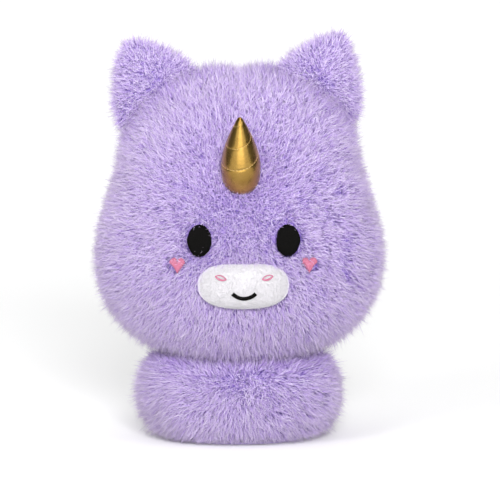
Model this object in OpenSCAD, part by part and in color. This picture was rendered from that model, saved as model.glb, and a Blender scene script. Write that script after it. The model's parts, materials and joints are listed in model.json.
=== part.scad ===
// Plush unicorn: a big stuffed head on a small stuffed base, with two ears, a horn and a sewn face.
// +Z is up, the face looks along -Y, and the origin is the middle of the flat underside.
// Left and right are as seen from the front, so the left ear is on the -X side.

/* [Head] */
// Half of the head's width at the cheeks, over the pile
head_half_w = 102; // [98:1:108]
// Half of the head's depth, front to back, over the pile
head_half_d = 72; // [68:1:76]
// Height of the crown above the floor, between the ears
crown_z = 264; // [260:1:270]
// How much lower the chin hangs than the sides of the neck crease
chin_sag = 8; // [5:1:12]

/* [Base] */
// Half of the base's width, over the pile
base_half_w = 73; // [70:1:78]
// Half of the base's depth, over the pile
base_half_d = 60; // [57:1:64]
// Height of the neck crease, where the head meets the base
neck_z = 63; // [61:1:65]

/* [Pile fabric] */
// Thickness of the pile fabric, from its backing to the tips
pile = 9; // [7:0.5:10]

/* [Ears] */
// Slope of the left ear's seam, in degrees from level
ear_slope_left = 40; // [36:1:46]
// Slope of the right ear's seam
ear_slope_right = 36; // [34:1:46]
// Half-thickness of an ear where it is thickest
ear_half_t = 14; // [12:0.5:15]

/* [Horn] */
// Length of the horn, from its seat to its tip
horn_len = 58; // [50:1:74]
// Radius of the horn at its seat
horn_r = 14; // [12:0.5:14.5]
// Rise of the horn above level, in degrees
horn_rise = 51; // [36:0.5:54]
// Sideways lean of the horn, in degrees, minus to the left
horn_side = -3; // [-5:1:5]

/* [Face] */
// Height of the eyes' middles
eye_z = 146; // [142:1:150]
// Distance of each eye from the middle
eye_x = 30.3; // [28:0.1:34]
// Half-width of an eye
eye_half_w = 8.2; // [7:0.2:9]
// Half-height of an eye
eye_half_h = 11; // [9:0.2:12]
// Height of the cheek hearts' middles
heart_z = 129; // [126:1:131]
// Distance of each heart from the middle
heart_x = 45.5; // [44:0.5:50]
// Height of the muzzle's middle
muzzle_z = 114.5; // [112:0.5:116]

/* [Motion] */
// Most that the head nods each way, in degrees
nod = 6; // [4:0.5:8]
// Most that an ear folds each way, in degrees
ear_fold = 22; // [10:1:25]
// Gap left between pieces that move on each other
gap = 0.4; // [0.3:0.1:0.6]

/* [Hidden] */

lilac = "#C3AEE6";
fibre_white = "#F4F4F0";
far = 800;                // a length past every side of the toy
ring_sides = 40;          // points round each ring of the head and the base
ear_sides = 24;           // points round each ring of an ear
roundness = 2.3;          // 2 is an ellipse, and more is squarer

// Each row: share of the height, share of the half-width, share of the half-depth.
head_rows = [
    [0, 0.61, 0.6], [0.025, 0.715, 0.71], [0.078, 0.84, 0.83], [0.135, 0.92, 0.91],
    [0.19, 0.97, 0.957], [0.27, 0.997, 0.99], [0.35, 1, 1], [0.46, 0.957, 0.985],
    [0.6, 0.88, 0.91], [0.74, 0.81, 0.78], [0.85, 0.72, 0.63], [0.92, 0.605, 0.49],
    [0.965, 0.46, 0.345], [0.99, 0.27, 0.19], [1, 0.06, 0.04]
];
base_rows = [
    [0, 0.62, 0.66], [0.05, 0.735, 0.765], [0.13, 0.845, 0.86], [0.28, 0.95, 0.955],
    [0.52, 1, 1], [0.72, 0.99, 0.985], [0.87, 0.95, 0.935], [0.96, 0.9, 0.87],
    [1, 0.85, 0.81]
];
sag_share = 0.35;         // the sag dies out at this share of the head's height
hinge_z = 56;             // height of the line that the head nods about
// Each row of an ear: height over its seam, middle along the seam, half-width, half-thickness.
ear_rows = [
    [0, -0.7, 37.2, 0.72], [8, -0.6, 35.2, 0.9], [16, -0.1, 32.2, 1], [24, 1.2, 28, 1],
    [32, 3.2, 22.6, 0.92], [39, 4.9, 17.7, 0.8], [45, 6.5, 12.5, 0.62], [49, 8, 8, 0.42],
    [51.2, 8.5, 3, 0.2]
];
ear_top = 51.2;
ear_end_gap = 0.8;        // between an ear's ends and the head
ear_seat_left = [-55, 0, 239];
ear_seat_right = [52.5, 0, 240.5];
horn_seat = [-1.5, -60, 189.5];
horn_wall = 1.2;
// Each row of the horn's outline: share of its length, share of its radius.
horn_rows = [
    [0, 1], [0.13, 1.03], [0.26, 1.01], [0.4, 0.91], [0.56, 0.74], [0.72, 0.53],
    [0.86, 0.33], [0.95, 0.19], [1, 0.06]
];
base_floor = 1.6;         // thickness of the underside panel
neck_r = 12;
pouch_half = [40, 30];
pouch_h = 20;
stitch_r = 0.6;
seam_slot = 3;            // width of the groove that the closing stitches bridge
eye_depth = 3;            // how far the embroidery presses the pile down

// A point on a smooth curve through four rows, t of the way from b to c.
function between(a, b, c, d, t) =
    0.5 * (2 * b + (c - a) * t + (2 * a - 5 * b + 4 * c - d) * t * t
    + (3 * b - a - 3 * c + d) * t * t * t);

// The rows with steps more between each pair.
function smooth_rows(rows, steps) = [
    for (i = [0 : len(rows) - 2], k = [0 : steps - 1])
        between(rows[max(i - 1, 0)], rows[i], rows[i + 1], rows[min(i + 2, len(rows) - 1)], k / steps),
    rows[len(rows) - 1]
];

function signed_power(v, p) = sign(v) * pow(abs(v), p);

// A ring round Z at height z, hanging lower by sag in the middle of its width.
function ring(z, half_w, half_d, sides, middle = 0, sag = 0) = [
    for (k = [0 : sides - 1])
        let (a = 360 * k / sides, across = signed_power(cos(a), 2 / roundness))
        [middle + half_w * across, half_d * signed_power(sin(a), 2 / roundness),
         z - sag * (1 - across * across)]
];

// The strips that close a ring of points, front to back.
function strips(sides, start) = [
    [start, start + 1, start + sides - 1],
    for (k = [1 : sides / 2 - 2]) [start + k, start + k + 1, start + sides - k - 1, start + sides - k],
    [start + sides / 2 - 1, start + sides / 2, start + sides / 2 + 1]
];

function reversed(list) = [for (k = [len(list) - 1 : -1 : 0]) list[k]];

// A closed solid through rings that all have the same number of points.
module lofted(rings) {
    sides = len(rings[0]);
    last = len(rings) - 1;
    polyhedron(
        points = [for (r = rings) each r],
        faces = [
            each strips(sides, 0),
            for (f = strips(sides, last * sides)) reversed(f),
            for (i = [0 : last - 1], k = [0 : sides - 1])
                let (a = i * sides + k, b = i * sides + (k + 1) % sides)
                each [[a, a + sides, b], [b, a + sides, b + sides]]
        ],
        convexity = 4
    );
}

// The head inset from its outer surface all round. Its bottom sags to a chin, front to back.
module head_form(inset = 0) {
    low = neck_z + gap / 2;
    middle = (low + crown_z) / 2;
    shrink = 1 - 2 * inset / (crown_z - low);
    lofted([
        for (r = smooth_rows(head_rows, 2))
            ring(middle + (low + r[0] * (crown_z - low) - middle) * shrink,
                 max(head_half_w * r[1] - inset, head_half_w * 0.04),
                 max(head_half_d * r[2] - inset, head_half_d * 0.04), ring_sides, 0,
                 chin_sag * pow(max(1 - r[0] / sag_share, 0), 1.5))
    ]);
}

module base_form(inset = 0) {
    lofted([
        for (r = smooth_rows(base_rows, 2))
            ring(r[0] * (neck_z + 1 - inset), base_half_w * r[1] - inset,
                 base_half_d * r[2] - inset, ring_sides)
    ]);
}

// Everything on one side of a plane through the origin.
module half_space(side) {
    translate([-far / 2, -far / 2, -far / 2] + side * far / 2) cube(far);
}

// Leaves room above the base for the head's bottom at both ends of its nod.
module nod_room() {
    half_w = head_half_w * head_rows[0][1];
    low = neck_z - gap / 2;
    for (turn = [-nod - 0.5, nod + 0.5])
        at_neck() rotate([90 + turn, 0, 0])
            linear_extrude(far, center = true)
                translate([0, -hinge_z])
                    polygon([
                        for (k = [-8 : 8]) [half_w * k / 8, low - chin_sag * (1 - k * k / 64)],
                        [far / 2, low], [far / 2, far / 2], [-far / 2, far / 2], [-far / 2, low]
                    ]);
}

module at_neck() {
    translate([0, 0, hinge_z]) children();
}

module neck_rod(extra = 0) {
    at_neck() rotate([0, 90, 0])
        cylinder(r = neck_r + extra, h = 80 + 4 * extra, center = true, $fn = 48);
}

module at_ear(side) {
    translate(side < 0 ? ear_seat_left : ear_seat_right)
        rotate([0, side < 0 ? -ear_slope_left : ear_slope_right, 0])
            mirror([side < 0 ? 0 : 1, 0, 0]) children();
}

ear_root_r = ear_half_t * ear_rows[0][3];
ear_wall = pile * 0.7;

// Where a point of an ear's side gets to at full fold, with the gap added.
function folded(row) =
    let (y = ear_half_t * row[3] + gap, v = row[0])
    [y * cos(ear_fold + 1) + v * sin(ear_fold + 1), v * cos(ear_fold + 1) - y * sin(ear_fold + 1)];

// The trench that an ear's root turns in, open upwards for both ends of the fold.
module ear_room(side) {
    low = ear_rows[0][1] - ear_rows[0][2] - ear_end_gap;
    trench = [for (k = [0 : 3]) folded(ear_rows[k])];
    at_ear(side) translate([low, 0, 0]) rotate([90, 0, 90]) {
        cylinder(r = ear_root_r + gap, h = 2 * (ear_rows[0][2] + ear_end_gap), $fn = 48);
        linear_extrude(2 * (ear_rows[0][2] + ear_end_gap))
            polygon([for (p = trench) p, for (k = [3 : -1 : 0]) [-trench[k][0], trench[k][1]]]);
    }
}

// An ear about its seam, which lies along X: its root is round about that line.
module ear_form(inset = 0) {
    root = ear_rows[0];
    lofted([
        for (a = [-80 : 20 : -20])
            ring((ear_root_r - inset) * sin(a), root[2] - inset - 5 * sin(a) * sin(a),
                 (ear_root_r - inset) * cos(a), ear_sides, root[1]),
        for (r = smooth_rows(ear_rows, 2))
            ring(r[0] * (1 - inset / ear_top), max(r[2] - inset, 1),
                 max(ear_half_t * r[3] - inset, 0.8), ear_sides, r[1])
    ]);
}

module at_horn() {
    translate(horn_seat) rotate([90 - horn_rise, horn_side, 0]) children();
}

// Room for the horn's round seat, flared so that the horn can lean.
module horn_room() {
    at_horn() {
        sphere(r = horn_r + gap, $fn = 48);
        translate([0, 0, -4]) cylinder(r1 = horn_r + gap, r2 = horn_r + 22, h = 54, $fn = 48);
    }
}

// Half of the horn's section, on the +X side of its axis.
module horn_section(inset) {
    rows = smooth_rows(horn_rows, 3);
    polygon([
        for (a = [-90 : 10 : -10]) (horn_r - inset) * [cos(a), sin(a)],
        for (r = rows) [max(r[1] * horn_r - inset, 0.4), r[0] * (horn_len - inset)],
        [0, horn_len - inset]
    ]);
}

module horn_form(inset = 0) {
    rotate_extrude($fn = 48) horn_section(inset);
}

// Everything straight in front of a flat outline drawn in X and Z.
module in_front() {
    rotate([90, 0, 0]) linear_extrude(far / 2) children();
}

// The part of a flat outline's front column that lies between two depths of the head.
module patch(outer, inner) {
    intersection() {
        in_front() children();
        difference() {
            head_form(outer);
            head_form(inner);
        }
    }
}

module oval(half_w, half_h) {
    polygon([for (a = [0 : 10 : 350]) [half_w * cos(a), half_h * sin(a)]]);
}

module eye_shape(side, grow = 0) {
    translate([side * eye_x, eye_z]) oval(eye_half_w + grow, eye_half_h + grow);
}

module heart_shape(side, grow = 0) {
    translate([side * heart_x, heart_z])
        for (lobe = [-1, 1])
            hull() {
                translate([lobe * 2.6, 1.9]) circle(r = 2.9 + grow, $fn = 24);
                translate([0, -5]) circle(r = 0.7 + grow, $fn = 16);
            }
}

// A bean: wide, flat on top with a slight dip in the middle, and rounder below.
module muzzle_shape(grow = 0) {
    translate([0, muzzle_z])
        polygon([
            for (a = [0 : 7.5 : 352.5])
                let (x = (31.8 + grow) * signed_power(cos(a), 0.78),
                     y = (16 + grow) * signed_power(sin(a), a < 180 ? 0.78 : 0.9))
                [x, a < 180 ? y - 1.6 * exp(-x * x / 120) : y]
        ]);
}

// A leaf outline that falls towards the middle of the muzzle.
module nostril_shape(side) {
    translate([side * 15.8, muzzle_z + 6.4]) rotate(side * 14)
        intersection() {
            translate([0, 4.4]) circle(r = 6, $fn = 48);
            translate([0, -4.4]) circle(r = 6, $fn = 48);
        }
}

// An arc with round ends, open upwards.
module smile_shape() {
    smile_r = 10.1;
    half_angle = 49;
    line_r = 1.1;
    translate([0, muzzle_z - 7.7 + smile_r]) {
        difference() {
            circle(r = smile_r + line_r, $fn = 64);
            circle(r = smile_r - line_r, $fn = 64);
            translate([0, 30 - smile_r * cos(half_angle)]) square(60, center = true);
        }
        for (side = [-1, 1])
            rotate(side * half_angle) translate([0, -smile_r]) circle(r = line_r, $fn = 24);
    }
}

// Pressed into the pile from in front: the embroidery a little way, the muzzle almost to the backing.
module face_pockets() {
    difference() {
        in_front()
            for (side = [-1, 1]) {
                eye_shape(side, 0.2);
                heart_shape(side, 0.2);
            }
        head_form(eye_depth);
    }
    difference() {
        in_front() muzzle_shape(0.3);
        head_form(pile - 2);
    }
}

// The head's cover, a shell of pile fabric with its openings.
module head_cover() {
    difference() {
        head_form();
        head_form(pile);
        head_openings();
    }
}

module head_openings() {
    neck_rod(gap);
    for (side = [-1, 1]) ear_room(side);
    horn_room();
}

module base_cover() {
    difference() {
        base_form();
        base_form(pile);
        under_floor();
        neck_rod(0.1);
        nod_room();
        closing_slot();
    }
}

// Everything below the top of the underside panel.
module under_floor() {
    translate([-far / 2, -far / 2, -far / 2]) cube([far, far, far / 2 + base_floor]);
}

// A groove down the middle of the back, where the last seam is closed by hand.
module closing_slot() {
    difference() {
        translate([-seam_slot / 2, 0, 10]) cube([seam_slot, far, 40]);
        base_form(6);
    }
}

module head_front_panel() {
    color(lilac) difference() {
        intersection() {
            head_cover();
            half_space([0, -1, 0]);
        }
        face_pockets();
    }
}

module head_back_panel(side) {
    color(lilac) intersection() {
        head_cover();
        half_space([0, 1, 0]);
        half_space([side, 0, 0]);
    }
}

module head_stuffing() {
    color(fibre_white) difference() {
        head_form(pile + 0.2);
        head_openings();
    }
}

module base_front_panel() {
    color(lilac) intersection() {
        base_cover();
        half_space([0, -1, 0]);
    }
}

module base_back_panel(side) {
    color(lilac) intersection() {
        base_cover();
        half_space([0, 1, 0]);
        half_space([side, 0, 0]);
    }
}

module base_underside() {
    row = base_rows[0];
    outline = ring(0, base_half_w * row[1], base_half_d * row[2], ring_sides);
    color("#B9A3DF") linear_extrude(base_floor) polygon([for (p = outline) [p[0], p[1]]]);
}

module pouch_form(extra = 0) {
    translate([0, 0, base_floor - extra])
        linear_extrude(pouch_h + 2 * extra)
            oval(pouch_half[0] + extra, pouch_half[1] + extra);
}

module base_stuffing() {
    color(fibre_white) difference() {
        base_form(pile + 0.2);
        under_floor();
        pouch_form(0.2);
        neck_rod(0.1);
        nod_room();
    }
}

module pellet_pouch() {
    color("#E9E6DC") pouch_form();
}

module neck_stuffing() {
    color(fibre_white) neck_rod();
}

// One rung of thread for each stitch, across the groove and against both of its sides.
module closing_stitches() {
    color("#A993D6")
        for (z = [16 : 5 : 46])
            translate([0, base_half_d - 5 - pow((z - 34) / 11, 2) * 0.6, z]) rotate([0, 90, 0])
                cylinder(r = stitch_r, h = seam_slot, center = true, $fn = 24);
}

module ear_panel(side, face) {
    color(lilac) at_ear(side) intersection() {
        difference() {
            ear_form();
            ear_form(ear_wall);
        }
        half_space([0, face, 0]);
    }
}

module ear_stuffing(side) {
    color(fibre_white) at_ear(side) ear_form(ear_wall + 0.2);
}

module horn_cover() {
    color("#C9A44F") at_horn() difference() {
        horn_form();
        horn_form(horn_wall);
    }
}

module horn_stuffing() {
    color(fibre_white) at_horn() horn_form(horn_wall + 0.1);
}

// Short stitches that climb round the horn in a spiral, just over the cover.
module horn_spiral_stitching() {
    turns = 2.17;
    count = 36;
    rows = smooth_rows(horn_rows, 3);
    color("#A9842F") at_horn()
        for (k = [0 : count - 1])
            let (share = 0.14 + 0.62 * k / count,
                 row = lookup(share, [for (r = rows) [r[0], r[1]]]))
                rotate([0, 0, 360 * turns * k / count + 92])
                    translate([row * horn_r + 0.35, 0, share * horn_len])
                        rotate([-74, 0, 0])
                            cylinder(r = 0.3, h = 2, center = true, $fn = 16);
}

module eye(side) {
    color("#15130F") patch(0.4, eye_depth) eye_shape(side);
}

module cheek_heart(side) {
    color("#E98FA8") patch(0.8, eye_depth) heart_shape(side);
}

module muzzle_cover() {
    color("#F5F4F6") patch(-4, -1.5) muzzle_shape();
}

module muzzle_padding() {
    color(fibre_white) patch(-1.5, pile - 2) muzzle_shape();
}

module nostril(side) {
    color("#E07F97") patch(-4.9, -4) nostril_shape(side);
}

module mouth_stitching() {
    color("#15130F") patch(-5, -4) smile_shape();
}

head_front_panel();
head_back_panel(-1);  // head_back_left_panel
head_back_panel(1);  // head_back_right_panel
head_stuffing();
base_front_panel();
base_back_panel(-1);  // base_back_left_panel
base_back_panel(1);  // base_back_right_panel
base_underside();
base_stuffing();
pellet_pouch();
neck_stuffing();
closing_stitches();
ear_panel(-1, -1);  // left_ear_front
ear_panel(-1, 1);  // left_ear_back
ear_stuffing(-1);  // left_ear_stuffing
ear_panel(1, -1);  // right_ear_front
ear_panel(1, 1);  // right_ear_back
ear_stuffing(1);  // right_ear_stuffing
horn_cover();
horn_stuffing();
horn_spiral_stitching();
eye(-1);  // left_eye
eye(1);  // right_eye
cheek_heart(-1);  // left_cheek_heart
cheek_heart(1);  // right_cheek_heart
muzzle_cover();
muzzle_padding();
nostril(-1);  // left_nostril
nostril(1);  // right_nostril
mouth_stitching();
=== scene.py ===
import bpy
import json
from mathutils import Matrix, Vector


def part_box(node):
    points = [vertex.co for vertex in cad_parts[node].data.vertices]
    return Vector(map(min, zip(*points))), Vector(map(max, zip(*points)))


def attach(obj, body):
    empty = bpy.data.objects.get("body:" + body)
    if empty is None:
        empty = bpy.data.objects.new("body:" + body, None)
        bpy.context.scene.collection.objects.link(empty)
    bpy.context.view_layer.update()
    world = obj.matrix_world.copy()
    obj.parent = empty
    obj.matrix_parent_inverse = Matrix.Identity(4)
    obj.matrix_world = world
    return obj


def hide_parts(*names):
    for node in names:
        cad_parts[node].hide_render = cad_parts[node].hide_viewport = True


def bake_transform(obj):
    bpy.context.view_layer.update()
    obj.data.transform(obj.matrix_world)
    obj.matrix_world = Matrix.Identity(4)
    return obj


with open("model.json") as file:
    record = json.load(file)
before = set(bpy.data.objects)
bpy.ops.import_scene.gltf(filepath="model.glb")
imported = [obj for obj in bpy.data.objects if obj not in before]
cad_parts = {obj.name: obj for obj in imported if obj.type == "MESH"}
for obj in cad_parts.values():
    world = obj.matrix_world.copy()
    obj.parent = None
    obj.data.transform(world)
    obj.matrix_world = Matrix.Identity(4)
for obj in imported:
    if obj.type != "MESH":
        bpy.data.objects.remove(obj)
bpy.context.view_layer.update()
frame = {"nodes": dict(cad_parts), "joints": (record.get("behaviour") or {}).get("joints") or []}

import json
import math

import bmesh
import bpy
import numpy as np
from mathutils import Matrix, Vector
from mathutils.bvhtree import BVHTree

MM = 0.001
joints = {joint["name"]: joint for joint in frame["joints"]}


# ---------------------------------------------------------------- camera, lights and floor

def view_direction(azimuth, elevation):
    """From the toy towards the eye, where azimuth 0 looks the toy in the face."""
    a = math.radians(azimuth)
    e = math.radians(elevation)
    return Vector((math.sin(a) * math.cos(e), -math.cos(a) * math.cos(e), math.sin(e)))


def aim(thing, target):
    thing.rotation_euler = (Vector(target) - thing.location).to_track_quat("-Z", "Y").to_euler()


def set_camera():
    distance = 2.0
    width_seen = 0.3535
    target = Vector((0.0074, 0, 0.1322))
    lens = bpy.data.cameras.new("camera")
    camera = bpy.data.objects.new("camera", lens)
    bpy.context.scene.collection.objects.link(camera)
    camera.location = target + view_direction(-2.6, 6) * distance
    aim(camera, target)
    lens.sensor_width = 36
    lens.lens = lens.sensor_width * distance / width_seen
    lens.dof.use_dof = False
    bpy.context.scene.camera = camera


def softbox(name, place, width, height, watts, target=(0, 0, 0.14)):
    light = bpy.data.lights.new(name, "AREA")
    light.shape = "RECTANGLE"
    light.size = width
    light.size_y = height
    light.energy = watts
    lamp = bpy.data.objects.new(name, light)
    lamp.location = place
    bpy.context.scene.collection.objects.link(lamp)
    aim(lamp, target)


def reflected_card(name, width, length, turn, place, material):
    """A card that only reflections see: grey beside the toy and white before it, for the gold's bands."""
    bm = bmesh.new()
    bmesh.ops.create_grid(bm, x_segments=1, y_segments=1, size=0.5)
    bmesh.ops.scale(bm, verts=bm.verts, vec=(width, length, 1))
    bmesh.ops.rotate(bm, verts=bm.verts, matrix=Matrix.Rotation(math.radians(turn), 3, "Y"))
    bmesh.ops.translate(bm, verts=bm.verts, vec=place)
    card = mesh_piece(name, bm)
    finish_with(card, material)
    for ray in ("camera", "diffuse", "shadow", "transmission", "volume_scatter"):
        setattr(card, "visible_" + ray, False)


def set_lights():
    world = bpy.data.worlds.new("studio")
    bpy.context.scene.world = world
    world.use_nodes = True
    air = world.node_tree.nodes["Background"]
    air.inputs["Color"].default_value = (1, 1, 1, 1)
    air.inputs["Strength"].default_value = 0.61
    softbox("key_left", (-1.1, -1.2, 0.9), 0.6, 0.6, 9)
    softbox("key_right", (1.2, -1.0, 0.5), 0.5, 0.7, 2.5)
    softbox("front", (0.1, -2.3, 0.9), 0.7, 0.5, 61)
    softbox("top", (-0.1, 0.1, 1.4), 0.7, 0.7, 0.8)
    softbox("backdrop", (0, 1.6, 2.6), 3.0, 1.5, 42, (0, 4.2, 0.6))
    bpy.context.scene.view_settings.view_transform = "Standard"


def set_floor():
    """A pale sheet that curves up behind the toy."""
    bm = bmesh.new()
    bmesh.ops.create_grid(bm, x_segments=1, y_segments=1, size=3)
    edge = [e for e in bm.edges if all(v.co.y > 2.9 for v in e.verts)]
    for step in range(1, 9):
        grown = bmesh.ops.extrude_edge_only(bm, edges=edge)["geom"]
        angle = math.radians(90 * step / 8)
        for v in [g for g in grown if isinstance(g, bmesh.types.BMVert)]:
            v.co.y = 3 + 1.5 * math.sin(angle)
            v.co.z = 1.5 * (1 - math.cos(angle))
        edge = [g for g in grown if isinstance(g, bmesh.types.BMEdge)]
    grown = bmesh.ops.extrude_edge_only(bm, edges=edge)["geom"]
    bmesh.ops.translate(bm, verts=[g for g in grown if isinstance(g, bmesh.types.BMVert)], vec=(0, 0, 4))
    floor = mesh_piece("floor", bm)
    finish_with(floor, paper_sweep())


# ---------------------------------------------------------------- materials

def linear(code, alpha=1.0):
    """An sRGB hex colour as the linear values that a shader takes."""
    parts = [int(code[i:i + 2], 16) / 255 for i in (0, 2, 4)]
    return tuple(p / 12.92 if p <= 0.04045 else ((p + 0.055) / 1.055) ** 2.4 for p in parts) + (alpha,)


def add(tree, kind, settings=None, links=None, ramp=None):
    """One node, with its settings, its plain socket values and the sockets that feed it."""
    node = tree.nodes.new(kind)
    for key, value in (settings or {}).items():
        if hasattr(node, key):
            setattr(node, key, value)
        else:
            node.inputs[key].default_value = value
    for key, source in (links or {}).items():
        tree.links.new(source, node.inputs[key])
    if ramp:
        while len(node.color_ramp.elements) < len(ramp):
            node.color_ramp.elements.new(0.5)
        for element, (place, colour) in zip(node.color_ramp.elements, ramp):
            element.position = place
            element.color = colour
    return node


def new_material(name, **plain):
    material = bpy.data.materials.new(name)
    material.use_nodes = True
    shader = material.node_tree.nodes["Principled BSDF"]
    for key, value in plain.items():
        shader.inputs[key.replace("_", " ")].default_value = value
    return material, material.node_tree, shader


def paper_sweep():
    """Matt white background paper: even, with hardly any tooth."""
    material, tree, shader = new_material("white_background_paper", Roughness=0.9)
    shader.inputs["Specular IOR Level"].default_value = 0.1
    place = add(tree, "ShaderNodeTexCoord").outputs["Object"]
    tooth = add(tree, "ShaderNodeTexNoise", {"Scale": 900.0, "Detail": 2.0}, {"Vector": place})
    tone = add(tree, "ShaderNodeValToRGB", None, {"Fac": tooth.outputs["Fac"]},
               [(0.3, linear("F6F6F6")), (0.7, linear("FAFAFA"))])
    tree.links.new(tone.outputs["Color"], shader.inputs["Base Color"])
    return material


def pile_fibre(name, root, middle, tip, pale, rough=0.8, sheen=0.06):
    """Polyester pile: each lock is painted darker towards its root, as shade deep in the pile, and pale at
    its tip, and no two are quite alike.
    """
    material, tree, shader = new_material(name, Roughness=rough, IOR=1.5)
    shader.inputs["Specular IOR Level"].default_value = 0.1
    shader.inputs["Sheen Weight"].default_value = sheen
    shader.inputs["Sheen Roughness"].default_value = 0.5
    along = add(tree, "ShaderNodeAttribute", {"attribute_name": "along"})
    tone = add(tree, "ShaderNodeAttribute", {"attribute_name": "tone"})
    # Painted shade: the ramp darkens each lock towards its root colour, as the shade deep in the pile.
    shade = add(tree, "ShaderNodeValToRGB", None, {"Fac": along.outputs["Fac"]},
                [(0.0, linear(root)), (0.5, linear(middle)), (1.0, linear(tip))])
    mixed = add(tree, "ShaderNodeMix", {"data_type": "RGBA"},
                {"Factor": tone.outputs["Fac"], 6: shade.outputs["Color"]})
    mixed.inputs[7].default_value = linear(pale)
    tree.links.new(mixed.outputs[2], shader.inputs["Base Color"])
    return material


def knit_backing(name, light, dark):
    """Warp-knit backing cloth, seen only deep between the locks: fine ribs about 0.8 mm apart."""
    material, tree, shader = new_material(name, Roughness=0.9, IOR=1.5)
    shader.inputs["Sheen Weight"].default_value = 0.2
    place = add(tree, "ShaderNodeTexCoord").outputs["Object"]
    ribs = add(tree, "ShaderNodeTexWave", {"Scale": 200.0, "Distortion": 1.5, "Detail": 2.0},
               {"Vector": place})
    mottle = add(tree, "ShaderNodeTexNoise", {"Scale": 90.0, "Detail": 4.0}, {"Vector": place})
    both = add(tree, "ShaderNodeMath", {"operation": "MULTIPLY"},
               {0: ribs.outputs["Fac"], 1: mottle.outputs["Fac"]})
    tone = add(tree, "ShaderNodeValToRGB", None, {"Fac": both.outputs["Value"]},
               [(0.1, linear(dark)), (0.6, linear(light))])
    tree.links.new(tone.outputs["Color"], shader.inputs["Base Color"])
    bump = add(tree, "ShaderNodeBump", {"Strength": 0.4, "Distance": 0.0003},
               {"Height": ribs.outputs["Fac"]})
    tree.links.new(bump.outputs["Normal"], shader.inputs["Normal"])
    return material


def short_pile(name, light, dark):
    """Velboa, a plush sheared to about a millimetre: matt, with a soft bloom and faint brush marks."""
    material, tree, shader = new_material(name, Roughness=0.85, IOR=1.5)
    shader.inputs["Sheen Weight"].default_value = 0.4
    shader.inputs["Specular IOR Level"].default_value = 0.2
    place = add(tree, "ShaderNodeTexCoord").outputs["Object"]
    nap = add(tree, "ShaderNodeTexNoise", {"Scale": 1400.0, "Detail": 3.0}, {"Vector": place})
    brush = add(tree, "ShaderNodeTexNoise", {"Scale": 70.0, "Detail": 3.0}, {"Vector": place})
    both = add(tree, "ShaderNodeMix", {"data_type": "FLOAT", "Factor": 0.5},
               {2: nap.outputs["Fac"], 3: brush.outputs["Fac"]})
    tone = add(tree, "ShaderNodeValToRGB", None, {"Fac": both.outputs[0]},
               [(0.35, linear(dark)), (0.65, linear(light))])
    tree.links.new(tone.outputs["Color"], shader.inputs["Base Color"])
    bump = add(tree, "ShaderNodeBump", {"Strength": 0.35, "Distance": 0.0003}, {"Height": nap.outputs["Fac"]})
    tree.links.new(bump.outputs["Normal"], shader.inputs["Normal"])
    return material


def embroidery_thread(name, light, dark, rough, gloss=0.5):
    """Trilobal polyester thread: a silky gloss along each strand, deeper between the strands."""
    material, tree, shader = new_material(name, Roughness=rough, IOR=1.55)
    shader.inputs["Specular IOR Level"].default_value = gloss
    place = add(tree, "ShaderNodeTexCoord").outputs["Object"]
    ply = add(tree, "ShaderNodeTexNoise", {"Scale": 1600.0, "Detail": 2.0}, {"Vector": place})
    tone = add(tree, "ShaderNodeValToRGB", None, {"Fac": ply.outputs["Fac"]},
               [(0.3, linear(dark)), (0.7, linear(light))])
    tree.links.new(tone.outputs["Color"], shader.inputs["Base Color"])
    bump = add(tree, "ShaderNodeBump", {"Strength": 0.25, "Distance": 0.0001}, {"Height": ply.outputs["Fac"]})
    tree.links.new(bump.outputs["Normal"], shader.inputs["Normal"])
    return material


def gold_foil_cloth():
    """Gold foil on a knit cloth: a soft broken mirror, warmer where the foil has worn thin."""
    material, tree, shader = new_material("gold_foil_coated_cloth", Metallic=1.0)
    place = add(tree, "ShaderNodeTexCoord").outputs["Object"]
    wear = add(tree, "ShaderNodeTexNoise", {"Scale": 85.0, "Detail": 5.0}, {"Vector": place})
    tone = add(tree, "ShaderNodeValToRGB", None, {"Fac": wear.outputs["Fac"]},
               [(0.3, linear("97773A")), (0.7, linear("AE8D4A"))])
    tree.links.new(tone.outputs["Color"], shader.inputs["Base Color"])
    grain = add(tree, "ShaderNodeTexVoronoi", {"Scale": 1500.0}, {"Vector": place})
    rough = add(tree, "ShaderNodeMapRange", {"To Min": 0.22, "To Max": 0.32}, {"Value": wear.outputs["Fac"]})
    tree.links.new(rough.outputs["Result"], shader.inputs["Roughness"])
    bump = add(tree, "ShaderNodeBump", {"Strength": 0.12, "Distance": 0.0002},
               {"Height": grain.outputs["Distance"]})
    tree.links.new(bump.outputs["Normal"], shader.inputs["Normal"])
    return material


def fibrefill():
    """Crimped polyester filling: white, matt and cloudy."""
    material, tree, shader = new_material("polyester_fibrefill", Roughness=0.95, IOR=1.5)
    place = add(tree, "ShaderNodeTexCoord").outputs["Object"]
    cloud = add(tree, "ShaderNodeTexNoise", {"Scale": 120.0, "Detail": 6.0}, {"Vector": place})
    tone = add(tree, "ShaderNodeValToRGB", None, {"Fac": cloud.outputs["Fac"]},
               [(0.3, linear("DCDCD8")), (0.7, linear("F6F6F3"))])
    tree.links.new(tone.outputs["Color"], shader.inputs["Base Color"])
    bump = add(tree, "ShaderNodeBump", {"Strength": 0.5, "Distance": 0.001}, {"Height": cloud.outputs["Fac"]})
    tree.links.new(bump.outputs["Normal"], shader.inputs["Normal"])
    return material


def finish_with(piece, material):
    piece.data.materials.clear()
    piece.data.materials.append(material)


# ---------------------------------------------------------------- shaping

def mesh_piece(name, bm, smooth=True):
    mesh = bpy.data.meshes.new(name)
    bm.to_mesh(mesh)
    bm.free()
    mesh.polygons.foreach_set("use_smooth", [smooth] * len(mesh.polygons))
    piece = bpy.data.objects.new(name, mesh)
    bpy.context.scene.collection.objects.link(piece)
    return piece


def copy_of_nodes(names):
    """The CAD nodes' meshes in one bmesh, with their loose triangles joined."""
    bm = bmesh.new()
    for name in names:
        bm.from_mesh(frame["nodes"][name].data)
    bmesh.ops.remove_doubles(bm, verts=bm.verts, dist=1e-5)
    return bm


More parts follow.
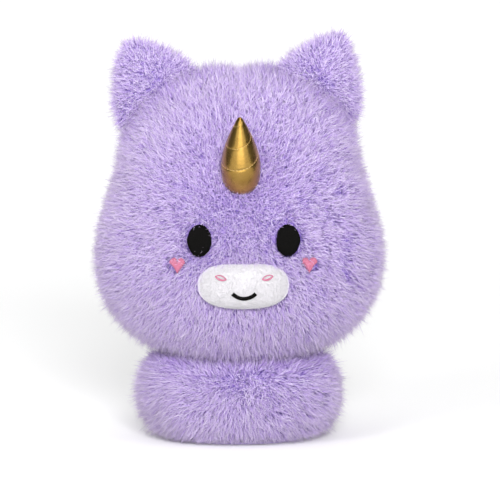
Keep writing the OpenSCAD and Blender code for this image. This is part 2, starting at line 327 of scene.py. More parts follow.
def wrapped(names):
    """A tight skin round some CAD nodes, with no trenches or sockets in it."""
    bm = copy_of_nodes(names)
    hull = bmesh.ops.convex_hull(bm, input=bm.verts, use_existing_faces=False)
    spare = set(hull["geom_interior"]) | set(hull["geom_unused"])
    bmesh.ops.delete(bm, geom=[g for g in spare if isinstance(g, bmesh.types.BMVert)], context="VERTS")
    kept = {g for g in hull["geom"] if isinstance(g, bmesh.types.BMFace)}
    bmesh.ops.delete(bm, geom=[f for f in bm.faces if f not in kept], context="FACES")
    bmesh.ops.recalc_face_normals(bm, faces=bm.faces)
    return bm


def apply_modifiers(piece):
    """The piece's shape as its modifiers leave it, made its own mesh."""
    ready = piece.evaluated_get(bpy.context.evaluated_depsgraph_get())
    mesh = bpy.data.meshes.new_from_object(ready)
    piece.modifiers.clear()
    piece.vertex_groups.clear()
    piece.data = mesh
    mesh.name = piece.name


def points_of(mesh, what="co"):
    values = np.zeros(len(mesh.vertices) * 3, np.float64)
    source = mesh.vertices if what == "co" else mesh.vertex_normals
    source.foreach_get("co" if what == "co" else "vector", values)
    return values.reshape(-1, 3)


def place_points(mesh, points):
    mesh.vertices.foreach_set("co", np.asarray(points, np.float32).ravel())
    mesh.update()


def even_out(piece, voxel, rounds):
    """Quads of one size, smoothed a little, which the cloth needs."""
    remesh = piece.modifiers.new("even", "REMESH")
    remesh.mode = "VOXEL"
    remesh.voxel_size = voxel
    remesh.use_smooth_shade = True
    apply_modifiers(piece)
    bm = bmesh.new()
    bm.from_mesh(piece.data)
    for _ in range(rounds):
        bmesh.ops.smooth_vert(bm, verts=bm.verts, factor=0.5,
                              use_axis_x=True, use_axis_y=True, use_axis_z=True)
    bm.to_mesh(piece.data)
    bm.free()


def blow_up(piece, held, pressure, cap):
    """Fills the cover like a cushion: cloth with pressure, held along its seams, moving at most cap."""
    frames = 20
    start = points_of(piece.data)
    group = piece.vertex_groups.new(name="held")
    for index in np.nonzero(held(start))[0]:
        group.add([int(index)], 1.0, "REPLACE")
    cloth = piece.modifiers.new("cloth", "CLOTH")
    cloth.settings.quality = 5
    cloth.settings.mass = 0.3
    cloth.settings.tension_stiffness = 12
    cloth.settings.compression_stiffness = 12
    cloth.settings.bending_stiffness = 0.4
    cloth.settings.use_pressure = True
    cloth.settings.uniform_pressure_force = pressure
    cloth.settings.vertex_group_mass = "held"
    cloth.settings.effector_weights.gravity = 0
    cloth.collision_settings.use_collision = False
    cloth.point_cache.frame_start = 1
    cloth.point_cache.frame_end = frames
    for number in range(1, frames + 1):
        bpy.context.scene.frame_set(number)
        bpy.context.view_layer.update()
    apply_modifiers(piece)
    bpy.context.scene.frame_set(1)
    end = points_of(piece.data)
    move = end - start
    far = np.linalg.norm(move, axis=1, keepdims=True)
    place_points(piece.data, start + move * np.minimum(1, cap / np.maximum(far, 1e-9)))


def fit_inside(piece, names, axes, inset):
    """Stretches a filling to the CAD nodes' outline, less an inset at the low and high end of each axis."""
    outline = np.concatenate([points_of(frame["nodes"][name].data) for name in names]) @ axes.T
    points = points_of(piece.data) @ axes.T
    low, high = points.min(axis=0), points.max(axis=0)
    goal_low = outline.min(axis=0) + np.array([pair[0] for pair in inset]) * MM
    goal_high = outline.max(axis=0) - np.array([pair[1] for pair in inset]) * MM
    place_points(piece.data, (goal_low + (points - low) / (high - low) * (goal_high - goal_low)) @ axes)


def finer(piece):
    smooth = piece.modifiers.new("finer", "SUBSURF")
    smooth.levels = 1
    smooth.render_levels = 1
    apply_modifiers(piece)
    piece.data.polygons.foreach_set("use_smooth", [True] * len(piece.data.polygons))


def sink_along(piece, distance, depth, width):
    """Draws the cloth in along a seam: distance gives each point's distance from the stitches."""
    points = points_of(piece.data)
    normals = points_of(piece.data, "normal")
    pull = depth * np.exp(-(distance(points) / width) ** 2)
    place_points(piece.data, points - normals * pull[:, None])


def panel_of(name, skin, cuts, thick):
    """One panel of a sewn cover: the skin on the wanted side of each cut, with a real thickness."""
    bm = bmesh.new()
    bm.from_mesh(skin.data)
    for point, direction in cuts:
        geometry = list(bm.verts) + list(bm.edges) + list(bm.faces)
        bmesh.ops.bisect_plane(bm, geom=geometry, dist=1e-6, plane_co=point, plane_no=direction,
                               clear_outer=True)
    panel = mesh_piece(name, bm)
    wall = panel.modifiers.new("wall", "SOLIDIFY")
    wall.thickness = thick
    wall.offset = 1
    apply_modifiers(panel)
    return panel


def add_piece(piece, where, material, nodes=()):
    """Finishes a piece. It rides on a body when where names one; otherwise, as when where is a blend's four
    values, its transform is baked into its mesh and it stays where it is.
    """
    finish_with(piece, material)
    if isinstance(where, str):
        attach(piece, where)
    else:
        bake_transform(piece)
    if nodes:
        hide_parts(*nodes)
    return piece


# ---------------------------------------------------------------- pile

def lock_shape(curved):
    """One lock of fibres, 1 long and 1 in radius, as points (across, across, along) and faces."""
    bm = bmesh.new()
    bmesh.ops.create_cone(bm, cap_ends=True, segments=3, radius1=1, radius2=0, depth=1)
    bmesh.ops.translate(bm, verts=bm.verts, vec=(0, 0, 0.5))
    bmesh.ops.remove_doubles(bm, verts=bm.verts, dist=1e-6)
    if curved:
        foot = [f for f in bm.faces if all(v.co.z < 0.1 for v in f.verts)]
        for v in foot[0].verts:
            v.co.z = 0.42
        bmesh.ops.poke(bm, faces=foot)["verts"][0].co = (0, 0, 0)
    bm.verts.index_update()
    points = np.array([v.co for v in bm.verts])
    faces = [[v.index for v in f.verts] for f in bm.faces]
    bm.free()
    return points, faces


def skin_arrays(skin):
    mesh = skin.data
    mesh.calc_loop_triangles()
    corners = np.zeros(len(mesh.loop_triangles) * 3, np.int32)
    mesh.loop_triangles.foreach_get("vertices", corners)
    return points_of(mesh), points_of(mesh, "normal"), corners.reshape(-1, 3)


def unit(v):
    return v / np.maximum(np.linalg.norm(v, axis=1, keepdims=True), 1e-12)


def root_places(skin, per_mm2, chance):
    """Roots spread evenly over the skin, with the skin's direction at each."""
    points, normals, corners = skin_arrays(skin)
    a, b, c = (points[corners[:, k]] for k in range(3))
    area = np.linalg.norm(np.cross(b - a, c - a), axis=1) / 2
    total = np.cumsum(area)
    count = int(total[-1] / MM ** 2 * per_mm2)
    at = (np.arange(count) + chance.random(count)) / count * total[-1]
    face = np.minimum(np.searchsorted(total, at), len(area) - 1)
    p = np.sqrt(chance.random(count))[:, None]
    q = chance.random(count)[:, None]
    weights = (1 - p, p * (1 - q), p * q)
    roots = sum(w * points[corners[face, k]] for k, w in enumerate(weights))
    outward = unit(sum(w * normals[corners[face, k]] for k, w in enumerate(weights)))
    return roots, outward


def gathered(roots, tips, cell, chance):
    """The middle of the tips of each lock's neighbours, which it leans towards."""
    loose = roots + chance.normal(0, cell * 0.22, roots.shape)
    key = np.floor(loose / cell).astype(np.int64)
    code = (key[:, 0] * 73856093) ^ (key[:, 1] * 19349663) ^ (key[:, 2] * 83492791)
    _, group, size = np.unique(code, return_inverse=True, return_counts=True)
    middle = np.stack([np.bincount(group, tips[:, k]) for k in range(3)], axis=1)
    return (middle / size[:, None])[group]


def ruffle(points):
    """A gentle, cloudy push on the nap, so that the pile lies a little differently from place to place."""
    chance = np.random.default_rng(3)
    push = np.zeros_like(points)
    for _ in range(7):
        way = unit(chance.normal(0, 1, (1, 3)))[0]
        wave = 2 * math.pi / chance.uniform(14 * MM, 45 * MM)
        heading = unit(chance.normal(0, 1, (1, 3)))
        push += heading * np.sin(points @ way * wave + chance.uniform(0, 6))[:, None]
    return push / 7 ** 0.5


def grow_pile(name, where, skin, material, per_mm2, length, radius, nap, keep, seed,
              curved=True, clump=0.5, cell=2.4 * MM, rough=0.42, deep=None):
    """Pile on a skin. nap gives the way that the fibres are brushed at each root, keep says which stay, and
    deep says from 0 to 1 how much painted shade darkens the locks there, so that their darker root colour
    reaches further up and their pale tone fades."""
    chance = np.random.default_rng(seed)
    roots, outward = root_places(skin, per_mm2, chance)
    stay = keep(roots, outward)
    roots = roots[stay]
    outward = outward[stay]
    count = len(roots)
    brushed = nap(roots, outward) + 0.28 * ruffle(roots)
    brushed -= outward * np.sum(brushed * outward, axis=1, keepdims=True)
    start = unit(outward + 0.35 * brushed + chance.normal(0, rough, (count, 3)))
    reach = length(roots) if callable(length) else np.full(count, length)
    long = (reach * chance.uniform(0.75, 1.1, count))[:, None]
    bend = (0.4 * brushed + chance.normal(0, 0.28, (count, 3)) + np.array([0, 0, -0.08])) * long
    goal = gathered(roots, roots + start * long + bend, cell, chance)
    bend += (goal - roots - start * long - bend) * (clump * chance.uniform(0.3, 1.2, count))[:, None]
    side = unit(np.cross(start, chance.normal(0, 1, (count, 3))))
    other = np.cross(start, side)
    shape, faces = lock_shape(curved)
    thick = (radius * chance.uniform(0.7, 1.3, count))[:, None]
    t = shape[:, 2]
    spots = (roots[:, None, :]
             + start[:, None, :] * (long[:, None, :] * t[None, :, None])
             + bend[:, None, :] * (t ** 2)[None, :, None]
             + side[:, None, :] * (thick[:, None, :] * shape[None, :, 0, None])
             + other[:, None, :] * (thick[:, None, :] * shape[None, :, 1, None]))
    spots[:, :, 2] = np.maximum(spots[:, :, 2], (0.3 + 0.4 * t)[None, :] * MM)
    tone = np.clip(chance.normal(0.16, 0.24, count), 0, 0.9)
    # Painted shade: where deep is given, the locks are darkened towards their root colour and lose their pale
    # tone, as shade in the creases and round the horn.
    painted_shade = deep(roots) * chance.uniform(0.2, 1, count) if deep else np.zeros(count)
    tone *= 1 - painted_shade
    shade = t[None, :] * (1 - 0.6 * painted_shade[:, None])
    triangles = sum(len(f) - 2 for f in faces)
    parts = max(1, math.ceil(count * triangles / MOST_TRIANGLES))
    for part, share in enumerate(np.array_split(np.arange(count), parts)):
        label = name if parts == 1 else f"{name}_{part + 1}"
        piece = locks_mesh(label, spots[share], faces, shade[share], tone[share])
        add_piece(piece, where, material)


def locks_mesh(name, spots, faces, along, tone):
    """Many copies of one lock as one mesh, each with its own points."""
    count, points = spots.shape[:2]
    sizes = np.tile([len(f) for f in faces], count)
    corners = np.concatenate([np.array(f) for f in faces])
    every = (np.arange(count)[:, None] * points + corners[None, :]).ravel()
    mesh = bpy.data.meshes.new(name)
    mesh.vertices.add(count * points)
    mesh.vertices.foreach_set("co", spots.astype(np.float32).ravel())
    mesh.loops.add(len(every))
    mesh.loops.foreach_set("vertex_index", every.astype(np.int32))
    mesh.polygons.add(len(sizes))
    starts = np.concatenate([[0], np.cumsum(sizes)[:-1]])
    mesh.polygons.foreach_set("loop_start", starts.astype(np.int32))
    mesh.polygons.foreach_set("use_smooth", np.ones(len(sizes), bool))
    mesh.update(calc_edges=True)
    for label, values in (("along", along.ravel()), ("tone", np.repeat(tone, points))):
        mesh.attributes.new(label, "FLOAT", "POINT").data.foreach_set("value", values.astype(np.float32))
    piece = bpy.data.objects.new(name, mesh)
    bpy.context.scene.collection.objects.link(piece)
    return piece


# ---------------------------------------------------------------- the face's places, from the CAD nodes

def middle_and_half(node):
    low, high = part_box(node)
    return (low + high) / 2, (high - low) / 2


def front_of(names):
    """Finds the toy's front surface straight in front of a place (x, z)."""
    bm = wrapped(names)
    tree = BVHTree.FromBMesh(bm)
    bm.free()

    def find(x, z):
        hit, normal, _, _ = tree.ray_cast(Vector((x, -0.5, z)), Vector((0, 1, 0)))
        return hit, normal

    return find


HEAD_PANELS = ("head_front_panel", "head_back_left_panel", "head_back_right_panel")
BASE_PANELS = ("base_front_panel", "base_back_left_panel", "base_back_right_panel")
head_front = front_of(HEAD_PANELS)


# ---------------------------------------------------------------- head

def head_seams(points):
    """How far each point is from the side seams, the back seam and the short seam on the crown."""
    x, y, z = points.T
    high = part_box("head_stuffing")[1]
    side = np.where(np.abs(x) > 0.02, np.abs(y), 1.0)
    back = np.where(y > 0, np.abs(x), 1.0)
    crown = np.where((z > high.z - 0.02) & (y > -0.03), np.abs(x), 1.0)
    return np.minimum(np.minimum(side, back), crown)


def head_nap(points, outward):
    """Brushed away from the middle of the face, then down the back."""
    flow = points - np.array([0, 0, 0.150])
    flow[:, 1] = 0
    strength = np.clip(np.linalg.norm(flow, axis=1, keepdims=True) / 0.08, 0.1, 1) * 0.75
    behind = np.clip((points[:, 1:2] - 0.01) / 0.03, 0, 1)
    down = np.array([[0, 0.1, -0.6]])
    return unit(flow) * strength * (1 - behind) + down * behind


def ear_reach(points):
    """0 away from the ears, and 1 along their roots."""
    near = np.zeros(len(points))
    for side in ("left", "right"):
        joint = joints[side + "_ear_fold"]
        line = np.array(joint["axis"])
        off = points - np.array(joint["pos_m"])
        along = np.clip(off @ line, -34 * MM, 34 * MM)
        gap = np.linalg.norm(off - along[:, None] * line, axis=1)
        near = np.maximum(near, np.clip((26 * MM - gap) / (14 * MM), 0, 1))
    return near


def head_length(points):
    return (10.5 + 4.0 * ear_reach(points) + 1.5 * np.clip((100 * MM - points[:, 2]) / (40 * MM), 0, 1)) * MM


def in_bean(x, z, node, grow):
    middle, half = middle_and_half(node)
    u = np.abs((x - middle.x) / (half.x + grow))
    v = np.abs((z - middle.z) / (half.z + grow))
    return u ** 2.5 + v ** 2.5 < 1


def head_keep(points, outward):
    """No pile under the embroidery, the muzzle or the horn, nor deep under the chin."""
    x, y, z = points.T
    front = y < 0
    bald = np.zeros(len(points), bool)
    for node in ("left_eye", "right_eye"):
        middle, half = middle_and_half(node)
        inner = middle.x - math.copysign(1.5 * MM, middle.x)
        bald |= ((x - inner) / (half.x + 1.5 * MM)) ** 2 + ((z - middle.z) / (half.z + 0.6 * MM)) ** 2 < 1
    for node in ("left_cheek_heart", "right_cheek_heart"):
        middle, half = middle_and_half(node)
        bald |= ((x - middle.x) / half.x) ** 2 + ((z - middle.z) / half.z) ** 2 < 0.55
    bald |= in_bean(x, z, "muzzle_cover", -2.6 * MM)
    horn = joints["horn_lean"]["pos_m"]
    gap = np.linalg.norm(points - np.array(horn), axis=1)
    bald |= gap < np.where(z < horn[2], 10 * MM, 13 * MM)
    under = (outward[:, 2] < -0.75) & (np.hypot(x / 0.038, y / 0.024) < 1)
    return ~(bald & front) & ~under


def beside_horn(points):
    """The ring of pile round the horn's seat, on the front of the head."""
    gap = np.linalg.norm(points - np.array(joints["horn_lean"]["pos_m"]), axis=1)
    return (gap < 27 * MM) & (points[:, 1] < 0)


HALVES = {
    "front_panel": [((0, 0, 0), (0, 1, 0))],
    "back_left_panel": [((0, 0, 0), (0, -1, 0)), ((0, 0, 0), (1, 0, 0))],
    "back_right_panel": [((0, 0, 0), (0, -1, 0)), ((0, 0, 0), (-1, 0, 0))],
}


def painted_pile_shade(points):
    """Painted shade, from 0 to 1, in the pile of the neck crease, the creases below the ears, and round the
    horn where the face is brushed apart.
    """
    y, z = points.T[1:]
    # Painted shade: darkest in the neck crease, less below the ears and round the horn.
    neck = np.exp(-((z - 57 * MM) / (7 * MM)) ** 2)
    horn = np.array(joints["horn_lean"]["pos_m"])
    round_horn = np.exp(-(np.linalg.norm(points - horn, axis=1) / (34 * MM)) ** 2) * (y < 0)
    return np.clip(0.95 * neck + 0.65 * ear_reach(points) ** 2 + 0.5 * round_horn, 0, 1)


def long_and_under_pile(part, where, skin, length, nap, keep, seed):
    """Fine long locks, and a little shorter and thicker ones between them that close the pile."""
    grow_pile(part + "_long_pile", where, skin, long_pile, PER_MM2, length, 0.2 * MM,
              nap, keep, seed, deep=painted_pile_shade)
    grow_pile(part + "_under_pile", where, skin, long_pile, UNDER_PER_MM2,
              lambda p: 0.8 * length(p), 0.3 * MM, nap, keep, seed + 1, curved=False, deep=painted_pile_shade)


def cover_and_pile(part, skin, length, nap, keep, seed, cuts=()):
    """The three sewn panels of the head or the base, the filling inside them and the pile on them."""
    for half, seams in HALVES.items():
        panel = panel_of(f"{part}_{half.replace('panel', 'cover')}", skin, seams + list(cuts), 0.8 * MM)
        add_piece(panel, NECK, backing, [f"{part}_{half}"])
    long_and_under_pile(part, NECK, skin, length, nap, keep, seed)
    add_piece(skin, NECK, filling, [part + "_stuffing"])


def make_head():
    skin = mesh_piece("head_filling", wrapped(["head_stuffing"]))
    even_out(skin, 4.5 * MM, 6)
    blow_up(skin, lambda p: head_seams(p) < 3 * MM, 4.0, 3.2 * MM)
    finer(skin)
    fit_inside(skin, HEAD_PANELS, np.eye(3), [(7.8, 7.8), (9, 8.5), (8, 9)])
    sink_along(skin, head_seams, 1.2 * MM, 3 * MM)
    seat_y = joints["horn_lean"]["pos_m"][1]
    leaning = ("head", "horn", (0, seat_y - 5 * MM, 0), (0, seat_y - 20 * MM, 0))
    long_and_under_pile("horn_ring", leaning, skin, head_length, head_nap,
                        lambda p, out: head_keep(p, out) & beside_horn(p), 61)
    cover_and_pile("head", skin, head_length, head_nap,
                   lambda p, out: head_keep(p, out) & ~beside_horn(p), 11)


# ---------------------------------------------------------------- base

def base_seams(points):
    x, y = points.T[:2]
    side = np.where(np.abs(x) > 0.02, np.abs(y), 1.0)
    back = np.where(y > 0, np.abs(x), 1.0)
    return np.minimum(side, back)


def base_nap(points, outward):
    """Brushed outwards and a little down from the middle of each side."""
    flow = points - np.array([0, 0, 0.040])
    flow[:, 1] *= 0.3
    strength = np.clip(np.linalg.norm(flow, axis=1, keepdims=True) / 0.05, 0.1, 0.9)
    return unit(flow) * strength + np.array([[0, 0, -0.15]])


def base_keep(points, outward):
    x, y, z = points.T
    covered = (outward[:, 2] > 0.8) & (np.hypot(x / 0.038, y / 0.024) < 1)
    low = (z < 3.5 * MM) | (outward[:, 2] < -0.85)
    return ~covered & ~low


def make_base():
    skin = mesh_piece("base_filling", wrapped(["base_stuffing"]))
    even_out(skin, 4.5 * MM, 5)
    floor_z = 1.8 * MM
    blow_up(skin, lambda p: (base_seams(p) < 3 * MM) | (p[:, 2] < 5 * MM), 4.0, 3.0 * MM)
    finer(skin)
    fit_inside(skin, BASE_PANELS, np.eye(3), [(7.5, 8.5), (8, 8), (1.8, 7)])
    sink_along(skin, base_seams, 1.2 * MM, 3 * MM)
    cover_and_pile("base", skin, lambda p: np.full(len(p), 11.5 * MM), base_nap, base_keep, 21,
                   [((0, 0, floor_z + 0.5 * MM), (0, 0, -1))])
    make_underside()
    make_pouch()
    roll = mesh_piece("neck_fibrefill_roll", copy_of_nodes(["neck_stuffing"]))
    even_out(roll, 3 * MM, 4)
    finer(roll)
    add_piece(roll, NECK, filling, ["neck_stuffing"])


def make_underside():
    """The flat oval that closes the toy's bottom, with a row of short stitches just inside its edge."""
    panel = mesh_piece("underside_panel", copy_of_nodes(["base_underside"]), smooth=False)
    edge = panel.modifiers.new("worn_edge", "BEVEL")
    edge.width = 0.6 * MM
    edge.segments = 3
    edge.angle_limit = math.radians(50)
    apply_modifiers(panel)
    add_piece(panel, "base", lilac_velboa, ["base_underside"])
    low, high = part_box("base_underside")
    half = (high - low) / 2
    stitches = []
    for k in range(96):
        ends = []
        for share in (k - 0.3, k + 0.3):
            a = 2 * math.pi * share / 96
            x = (half.x - 3 * MM) * math.copysign(abs(math.cos(a)) ** 0.87, math.cos(a))
            y = (half.y - 3 * MM) * math.copysign(abs(math.sin(a)) ** 0.87, math.sin(a))
            ends.append((x, y, 0.3 * MM))
        stitches.append(ends)
    add_piece(threads("underside_stitches", stitches, 0.25 * MM), "base", lilac_thread)


def make_pouch():
    """A cotton bag of pellets, slack and lumpy."""
    pouch = mesh_piece("pellet_pouch_bag", copy_of_nodes(["pellet_pouch"]))
    even_out(pouch, 3 * MM, 6)
    finer(pouch)
    points = points_of(pouch.data)
    lumps = np.sin(points * 1450).sum(axis=1, keepdims=True) * 0.25 * MM
    place_points(pouch.data, points + points_of(pouch.data, "normal") * lumps)
    add_piece(pouch, "base", pouch_cotton, ["pellet_pouch"])


# ---------------------------------------------------------------- ears

def make_ear(side):
    body = side + "_ear"
    joint = joints[body + "_fold"]
    seat = np.array(joint["pos_m"])
    line = unit(np.array([joint["axis"]], float))[0]
    up = np.cross(line, [0, 1, 0])
    up = -up if up[2] < 0 else up

    def height(points):
        return (points - seat) @ up

    def rim(points):
        return np.where(height(points) > -5 * MM, np.abs(points[:, 1]), 1.0)

    def nap(points, outward):
        flow = (points - (seat + up * 0.002)) * np.array([1, 0, 1])
        return unit(flow) * 0.45

    def keep(points, outward):
        return height(points) > -4 * MM

    skin = mesh_piece(body + "_filling", wrapped([body + "_stuffing"]))
    even_out(skin, 3.5 * MM, 4)
    blow_up(skin, lambda p: rim(p) < 2 * MM, 3.5, 2.2 * MM)
    finer(skin)
    fit_inside(skin, [body + "_front", body + "_back"], np.array([line, [0, 1, 0], up]),
               [(5.5, 6.5), (5.5, 5.5), (4, 6)])
    sink_along(skin, rim, 0.8 * MM, 2.5 * MM)
    hold = ("head", body, tuple(seat - up * 0.002), tuple(seat + up * 0.020))
    for face, direction in (("front", (0, 1, 0)), ("back", (0, -1, 0))):
        panel = panel_of(f"{body}_{face}_cover", skin, [((0, 0, 0), direction)], 0.8 * MM)
        add_piece(panel, hold, backing, [f"{body}_{face}"])
    grow_pile(body + "_long_pile", hold, skin, long_pile, PER_MM2, 9.5 * MM, 0.2 * MM,
              nap, keep, 31 + len(side))
    grow_pile(body + "_under_pile", hold, skin, long_pile, UNDER_PER_MM2, 7.5 * MM, 0.3 * MM,
              nap, keep, 41 + len(side), curved=False)
    add_piece(skin, hold, filling, [body + "_stuffing"])


# ---------------------------------------------------------------- horn

def make_horn():
    joint = joints["horn_lean"]
    seat = np.array(joint["pos_m"])
    points = points_of(frame["nodes"]["horn_cover"].data)
    tip = points[np.argmax(np.linalg.norm(points - seat, axis=1))]
    length = float(np.linalg.norm(tip - seat))
    axis = (tip - seat) / length
    right = np.cross(axis, [0, 0, 1])
    right /= np.linalg.norm(right)
    front = np.cross(right, axis)
    turns = 3.5
    start = 0.79

    def stitch_line(p):
        """Distance from the spiral of stitches that climbs the horn."""
        d = p - seat
        share = d @ axis / length
        angle = np.arctan2(d @ front, d @ right) / (2 * math.pi)
        phase = share * turns + angle - start
        off = np.abs(phase - np.round(phase)) / turns * length
        return np.where((share > 0.08) & (share < 0.93), off, 1.0)

    skin = mesh_piece("horn_filling", copy_of_nodes(["horn_stuffing"]))
    even_out(skin, 1.5 * MM, 3)
    blow_up(skin, lambda p: (stitch_line(p) < 0.9 * MM) | ((p - seat) @ axis < 2 * MM), 6.0, 1.0 * MM)
    finer(skin)
    sink_along(skin, stitch_line, 0.22 * MM, 0.7 * MM)
    cover = panel_of("horn_gold_cover", skin, [], 0.5 * MM)
    add_piece(cover, "horn", gold, ["horn_cover"])
    add_piece(skin, "horn", filling, ["horn_stuffing"])
    surface = BVHTree.FromObject(cover, bpy.context.evaluated_depsgraph_get())
    stitches = []
    count = 96
    for k in range(count):
        ends = []
        for half in (-0.33, 0.33):
            share = 0.1 + 0.8 * (k + 0.5 + half) / count
            angle = (start - share * turns) * 2 * math.pi
            out = math.cos(angle) * right + math.sin(angle) * front
            place = seat + axis * share * length
            hit = surface.ray_cast(Vector(place + out * 0.05), Vector(-out))[0]
            if hit:
                ends.append(np.array(hit) + out * 0.02 * MM)
        if len(ends) == 2:
            stitches.append(ends)
    thread = threads("horn_spiral_thread", stitches, 0.16 * MM)
    add_piece(thread, "horn", gold_thread, ["horn_spiral_stitching"])


# ---------------------------------------------------------------- embroidery

def threads(name, paths, radius, sides=2):
    """Each path becomes one round thread."""
    curve = bpy.data.curves.new(name, "CURVE")
    curve.dimensions = "3D"
    curve.bevel_depth = radius
    curve.bevel_resolution = sides - 1
    curve.use_fill_caps = True
    for path in paths:
        spline = curve.splines.new("POLY")
        spline.points.add(len(path) - 1)
        for point, place in zip(spline.points, path):
            point.co = (*place, 1)
    drawn = bpy.data.objects.new(name, curve)
    bpy.context.scene.collection.objects.link(drawn)
    bpy.context.view_layer.update()
    mesh = bpy.data.meshes.new_from_object(drawn.evaluated_get(bpy.context.evaluated_depsgraph_get()))
    bpy.data.objects.remove(drawn)
    mesh.name = name
    mesh.polygons.foreach_set("use_smooth", [True] * len(mesh.polygons))
    piece = bpy.data.objects.new(name, mesh)
    bpy.context.scene.collection.objects.link(piece)
    return piece


def over_face(x, z, rise, surface):
    hit, normal = surface(x, z)
    return np.array(hit) + np.array(normal) * rise


def satin_fill(spans, surface, low, high, steps=14):
    """Threads that cross from edge to edge over a low mound. Each span is its two ends as (x, z)."""
    paths = []
    for start, end in spans:
        start = np.array(start)
        end = np.array(end)
        path = []
        for k in range(steps + 1):
            t = k / steps
            x, z = start + (end - start) * t
            path.append(over_face(x, z, low + (high - low) * (4 * t * (1 - t)) ** 0.4, surface))
        paths.append(path)
    return paths


def make_eye(side, chance):
    node = side + "_eye"
    middle, half = middle_and_half(node)
    pitch = 0.42 * MM
    count = int(2 * half.x / pitch)
    spans = []
    for k in range(count):
        x = (k + 0.5) / count * 2 - 1
        tall = half.z * math.sqrt(max(1 - x * x, 0.02))
        ragged = chance.normal(0, 0.28 * MM, 2)
        spans.append(((middle.x + x * half.x, middle.z - tall + ragged[0]),
                      (middle.x + x * half.x, middle.z + tall + ragged[1])))
    eye = threads(node + "_satin_stitch", satin_fill(spans, head_front, -1.4 * MM, 0.7 * MM), 0.30 * MM)
    add_piece(eye, "head", black_thread, [node])


def make_heart(side, chance):
    node = side + "_cheek_heart"
    middle, half = middle_and_half(node)
    pitch = 0.45 * MM
    count = int(2 * half.x / pitch)
    spans = []
    for k in range(count):
        x = (k + 0.5) / count * 2 - 1
        top = 0.62 + 0.36 * math.sin(math.pi * min(abs(x) / 0.95, 1)) - 0.25 * max(abs(x) - 0.8, 0) / 0.2
        bottom = -1 + 1.45 * abs(x) ** 0.9
        if top - bottom < 0.1:
            continue
        ragged = chance.normal(0, 0.3 * MM, 2)
        spans.append(((middle.x + x * half.x, middle.z + bottom * half.z + ragged[0]),
                      (middle.x + x * half.x, middle.z + top * half.z + ragged[1])))
    heart = threads(node + "_satin_stitch", satin_fill(spans, head_front, -1.8 * MM, 0.0, 8), 0.31 * MM)
    add_piece(heart, "head", pink_thread, [node])


# ---------------------------------------------------------------- muzzle

def make_muzzle():
    middle, half = middle_and_half("muzzle_cover")
    skin = mesh_piece("muzzle_short_pile_cover", copy_of_nodes(["muzzle_cover", "muzzle_padding"]))
    even_out(skin, 1.6 * MM, 8)
    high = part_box("muzzle_padding")[1]
    blow_up(skin, lambda p: p[:, 1] > high.y - 6 * MM, 2.5, 1.5 * MM)
    finer(skin)
    points = points_of(skin.data)
    u = np.abs((points[:, 0] - middle.x) / half.x)
    v = np.abs((points[:, 2] - middle.z) / half.z)
    rim = np.clip(((u ** 2.6 + v ** 2.6) ** (1 / 2.6) - 0.5) / 0.5, 0, 1)
    points[:, 1] += 6.5 * MM * rim ** 2.4
    place_points(skin.data, points)
    skin_bvh = BVHTree.FromObject(skin, bpy.context.evaluated_depsgraph_get())

    def surface(x, z):
        hit, normal, _, _ = skin_bvh.ray_cast(Vector((x, -0.5, z)), Vector((0, 1, 0)))
        return hit, normal

    def nap(points, outward):
        flow = (points - np.array([0, 0, middle.z])) * np.array([1, 0, 1])
        return unit(flow) * 0.5

    def keep(points, outward):
        return points[:, 1] < high.y - 7 * MM

    add_piece(skin, "head", white_velboa, ["muzzle_cover", "muzzle_padding"])
    grow_pile("muzzle_short_pile", "head", skin, white_pile, 9.0, 1.2 * MM, 0.17 * MM,
              nap, keep, 51, curved=False, clump=0.1, rough=0.25)
    return surface


def make_nostril(side, surface):
    node = side + "_nostril"
    middle = middle_and_half(node)[0]
    tilt = math.radians(-14 if side == "left" else 14)
    turn = np.array([[math.cos(tilt), -math.sin(tilt)], [math.sin(tilt), math.cos(tilt)]])
    wide = 3.7 * MM
    tall = 1.45 * MM
    paths = []
    for edge in (-1.0, -0.62, 1.0):
        path = []
        for k in range(25):
            t = -1 + 2 * k / 24
            x, z = turn @ np.array([t * wide, edge * tall * (1 - t * t)])
            path.append(over_face(middle.x + x, middle.z + z, 1.0 * MM, surface))
        paths.append(path)
    outline = threads(node + "_satin_stitch", paths, 0.4 * MM)
    add_piece(outline, "head", pink_thread, [node])


def make_smile(surface):
    middle, half = middle_and_half("mouth_stitching")
    wide = half.x - 1.1 * MM
    sag = 2 * half.z - 2.2 * MM
    reach = (wide ** 2 + sag ** 2) / (2 * sag)
    most = math.asin(wide / reach)
    low = middle.z - half.z + 1.1 * MM
    count = 46
    paths = []
    for k in range(count):
        angle = most * (2 * (k + 0.5) / count - 1)
        out = np.array([math.sin(angle), -math.cos(angle)])
        centre = np.array([middle.x, low + reach]) + out * reach
        path = []
        for j in range(7):
            t = j / 6
            x, z = centre + out * (t * 2 - 1) * 1.2 * MM
            path.append(over_face(x, z, 0.7 * MM + 0.7 * MM * (4 * t * (1 - t)) ** 0.5, surface))
        paths.append(path)
    smile = threads("smile_satin_stitch", paths, 0.26 * MM)
    add_piece(smile, "head", black_thread, ["mouth_stitching"])


# ---------------------------------------------------------------- build

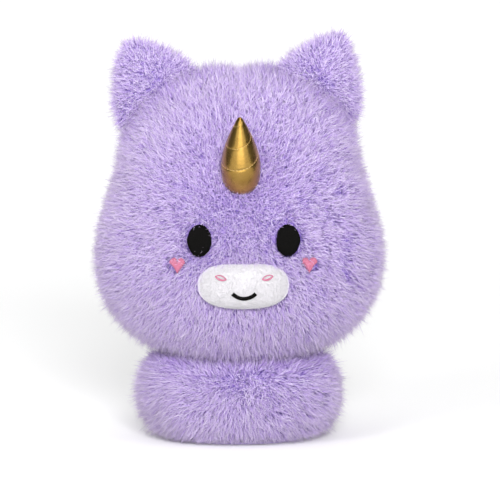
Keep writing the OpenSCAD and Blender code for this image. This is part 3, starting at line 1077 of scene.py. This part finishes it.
# Locks on each square millimetre of skin, and the most triangles in one piece of pile.
PER_MM2 = 1.47
UNDER_PER_MM2 = 0.85
MOST_TRIANGLES = 190000
NECK = ("base", "head", (0, 0, 38 * MM), (0, 0, 78 * MM))

backing = knit_backing("lilac_warp_knit_backing", "9E86CC", "7B62B4")
long_pile = pile_fibre("lilac_polyester_pile", "6E46C0", "B094D8", "E2D3EE", "F8F3FB")
white_pile = pile_fibre("white_polyester_pile", "DAD8DD", "E2E0E4", "E9E8EA", "EFEEF0", sheen=0.05)
white_velboa = short_pile("white_velboa", "E6E4E7", "DCDADE")
lilac_velboa = short_pile("lilac_velboa", "C2ADE6", "AE99D8")
filling = fibrefill()
pouch_cotton = knit_backing("unbleached_pouch_cotton", "EAE6DA", "D5CFBF")
gold = gold_foil_cloth()
# Matt grey and lit white card: each shows only as a soft band in the gold.
grey_card = new_material("grey_card", Base_Color=(0.12, 0.12, 0.12, 1), Roughness=1.0)[0]
white_card = new_material("lit_white_card", Emission_Color=(1, 0.97, 0.9, 1), Emission_Strength=2.1)[0]
gold_thread = embroidery_thread("gold_polyester_thread", "D9BC7A", "B08C45", 0.45)
lilac_thread = embroidery_thread("lilac_polyester_thread", "A790D6", "8B73BE", 0.5)
black_thread = embroidery_thread("black_trilobal_polyester_thread", "080706", "020202", 0.6, 0.05)
pink_thread = embroidery_thread("pink_trilobal_polyester_thread", "BC748D", "955069", 0.65, 0.12)

set_camera()
set_lights()
set_floor()
reflected_card("left_card", 0.6, 0.6, 90, (-0.3, 0, 0.26), grey_card)
reflected_card("right_card", 0.6, 0.6, 90, (0.3, 0, 0.26), grey_card)
reflected_card("front_card", 0.2, 1.1, 0, (0, -0.75, 0.004), white_card)
make_head()
make_base()
make_ear("left")
make_ear("right")
make_horn()
chance = np.random.default_rng(7)
for side in ("left", "right"):
    make_eye(side, chance)
    make_heart(side, chance)
muzzle_surface = make_muzzle()
for side in ("left", "right"):
    make_nostril(side, muzzle_surface)
make_smile(muzzle_surface)
finish_with(frame["nodes"]["closing_stitches"], lilac_thread)
